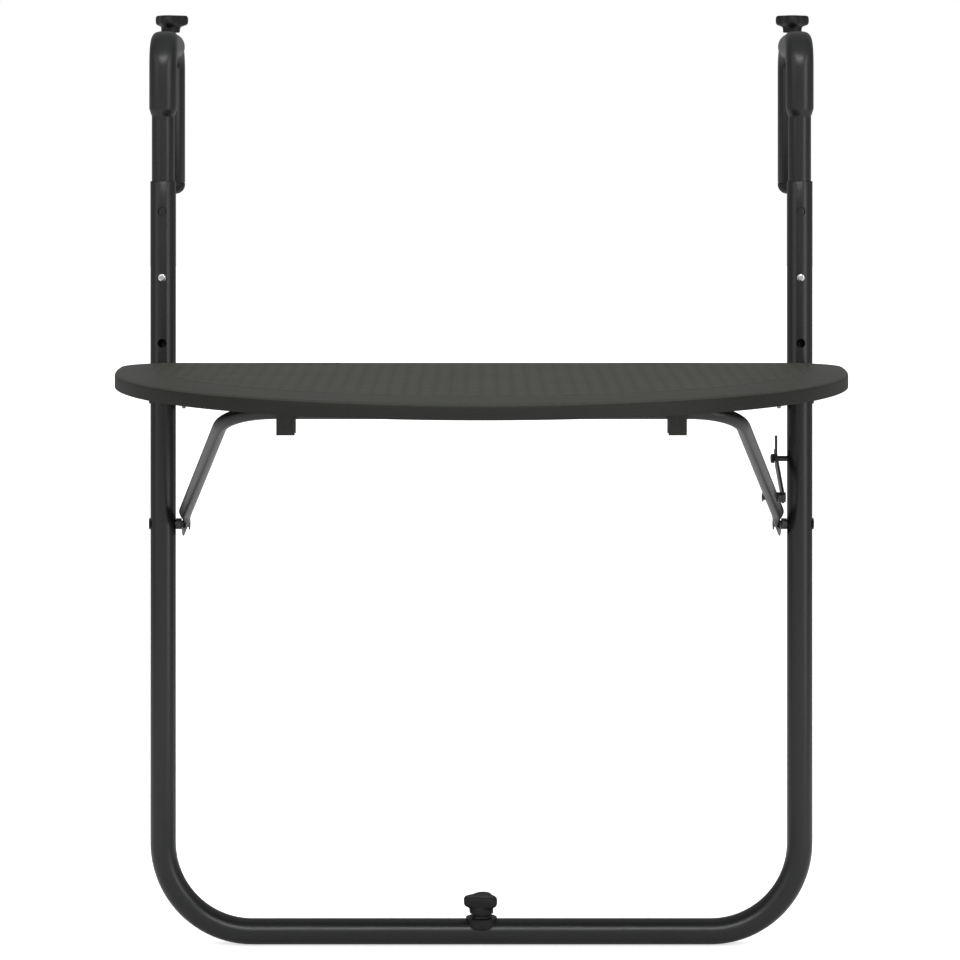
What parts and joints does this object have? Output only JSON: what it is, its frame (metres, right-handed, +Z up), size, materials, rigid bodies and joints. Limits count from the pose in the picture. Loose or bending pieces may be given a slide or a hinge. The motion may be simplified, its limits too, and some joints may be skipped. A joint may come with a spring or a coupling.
{
  "type": "hanging balcony table",
  "caption": "Half-round folding table that hangs on a balcony railing by two hooks, with a bent tube frame and a folding brace under the top.",
  "frame": {"origin": "railing seat: in the middle plane, in the plane of the two uprights, at the height of the underside of the hook arms", "axes": "+Z up, +Y towards the railing and away from the person at the table, +X to that person's right when facing the railing"},
  "size_m": [0.64, 0.5246, 0.8368],
  "materials": {
    "powder_coat": "satin anthracite powder coat",
    "black_plastic": "matte black",
    "rattan_plastic": "matte moulded weave",
    "bright_zinc": "bright plated",
    "dark_zinc": "black plated steel",
    "brass": "plain",
    "rubber": "matte"
  },
  "bodies": {
    "frame": {"frame_tube": "powder_coat", "left_hinge_bolt": "powder_coat", "right_hinge_bolt": "powder_coat", "left_hinge_spacer": "dark_zinc", "right_hinge_spacer": "dark_zinc", "left_hinge_nut": "dark_zinc", "right_hinge_nut": "dark_zinc", "left_brace_bolt": "powder_coat", "right_brace_bolt": "powder_coat", "left_brace_spacer": "dark_zinc", "right_brace_spacer": "dark_zinc", "left_brace_retainer": "dark_zinc", "right_brace_retainer": "dark_zinc", "latch_pin": "dark_zinc", "stop_weld_nut": "dark_zinc", "stop_saddle": "black_plastic"},
    "left_hook": {"left_hook_tube": "powder_coat", "left_clamp_boss": "powder_coat", "left_button_spring": "bright_zinc"},
    "right_hook": {"right_hook_tube": "powder_coat", "right_clamp_boss": "powder_coat", "right_button_spring": "bright_zinc"},
    "left_button": {"left_snap_button": "bright_zinc"},
    "right_button": {"right_snap_button": "bright_zinc"},
    "left_leg": {"left_rear_leg": "powder_coat", "left_leg_cap": "black_plastic"},
    "right_leg": {"right_rear_leg": "powder_coat", "right_leg_cap": "black_plastic"},
    "left_pressure_pad": {"left_clamp_pad": "brass"},
    "right_pressure_pad": {"right_clamp_pad": "brass"},
    "left_knob": {"left_clamp_knob": "black_plastic", "left_clamp_screw": "dark_zinc"},
    "right_knob": {"right_clamp_knob": "black_plastic", "right_clamp_screw": "dark_zinc"},
    "tabletop": {"tabletop_panel": "rattan_plastic", "left_hinge_bracket": "dark_zinc", "right_hinge_bracket": "dark_zinc", "left_bar_clip": "black_plastic", "right_bar_clip": "black_plastic", "left_front_bracket_screw": "dark_zinc", "left_rear_bracket_screw": "dark_zinc", "left_front_clip_screw": "dark_zinc", "left_rear_clip_screw": "dark_zinc", "right_front_bracket_screw": "dark_zinc", "right_rear_bracket_screw": "dark_zinc", "right_front_clip_screw": "dark_zinc", "right_rear_clip_screw": "dark_zinc"},
    "brace": {"brace_tube": "powder_coat", "latch_spacer": "dark_zinc", "latch_bolt": "dark_zinc", "latch_retainer": "dark_zinc"},
    "latch": {"latch_arm": "dark_zinc"},
    "stop": {"stop_plate": "powder_coat", "stop_pad": "rubber"},
    "stop_clamp": {"stop_washer": "dark_zinc"},
    "stop_handle": {"stop_knob": "black_plastic", "stop_screw": "dark_zinc"}
  },
  "joints": [
    {"name": "left_height", "type": "slide", "parent": "frame", "child": "left_hook", "axis": [0, 0, 1], "range_m": [-0.058, 0.058], "deforming": ["left_snap_button"]},
    {"name": "right_height", "type": "slide", "parent": "frame", "child": "right_hook", "axis": [0, 0, 1], "range_m": [-0.058, 0.058], "deforming": ["right_snap_button"]},
    {"name": "left_button_press", "type": "slide", "parent": "left_hook", "child": "left_button", "axis": [0, 1, 0], "range_m": [0, 0.0034], "stiffness_N_per_m": 400, "deforming": ["left_button_spring"]},
    {"name": "right_button_press", "type": "slide", "parent": "right_hook", "child": "right_button", "axis": [0, 1, 0], "range_m": [0, 0.0034], "stiffness_N_per_m": 400, "deforming": ["right_button_spring"]},
    {"name": "left_leg_reach", "type": "slide", "parent": "left_hook", "child": "left_leg", "axis": [0, 1, 0], "range_m": [0, 0.025]},
    {"name": "right_leg_reach", "type": "slide", "parent": "right_hook", "child": "right_leg", "axis": [0, 1, 0], "range_m": [0, 0.025]},
    {"name": "left_clamp_lift", "type": "slide", "parent": "left_hook", "child": "left_pressure_pad", "axis": [0, 0, 1], "range_m": [0, 0.0016]},
    {"name": "right_clamp_lift", "type": "slide", "parent": "right_hook", "child": "right_pressure_pad", "axis": [0, 0, 1], "range_m": [0, 0.0016]},
    {"name": "left_knob_turn", "type": "hinge", "parent": "left_pressure_pad", "child": "left_knob", "pos_m": [-0.2862, 0.071, 0.03], "axis": [0, 0, 1], "range_deg": [0, 721]},
    {"name": "right_knob_turn", "type": "hinge", "parent": "right_pressure_pad", "child": "right_knob", "pos_m": [0.2862, 0.071, 0.03], "axis": [0, 0, 1], "range_deg": [0, 721]},
    {"name": "tabletop_fold", "type": "hinge", "parent": "frame", "child": "tabletop", "pos_m": [0, 0, -0.3045], "axis": [1, 0, 0], "range_deg": [0, 90], "deforming": ["left_bar_clip", "right_bar_clip"]},
    {"name": "brace_fold", "type": "hinge", "parent": "frame", "child": "brace", "pos_m": [0, 0, -0.4175], "axis": [1, 0, 0], "range_deg": [0, 115]},
    {"name": "latch_turn", "type": "hinge", "parent": "brace", "child": "latch", "pos_m": [0.26475, -0.07, -0.38533], "axis": [1, 0, 0], "range_deg": [0, 138]},
    {"name": "stop_reach", "type": "slide", "parent": "frame", "child": "stop", "axis": [0, 1, 0], "range_m": [-0.025, 0]},
    {"name": "stop_clamp_lift", "type": "slide", "parent": "frame", "child": "stop_clamp", "axis": [0, 0, 1], "range_m": [0, 0.002]},
    {"name": "stop_knob_turn", "type": "hinge", "parent": "stop_clamp", "child": "stop_handle", "pos_m": [0, 0, -0.76], "axis": [0, 0, 1], "range_deg": [0, 721]}
  ],
  "couplings": [
    {"joint": "left_knob_turn", "follows": "left_clamp_lift", "rad_per_m": 7854},
    {"joint": "right_knob_turn", "follows": "right_clamp_lift", "rad_per_m": 7854},
    {"joint": "stop_knob_turn", "follows": "stop_clamp_lift", "rad_per_m": 6283.2},
    {"joint": "brace_fold", "follows": "tabletop_fold", "ratio": 1.2778},
    {"joint": "latch_turn", "follows": "tabletop_fold", "ratio": 1.5333}
  ]
}
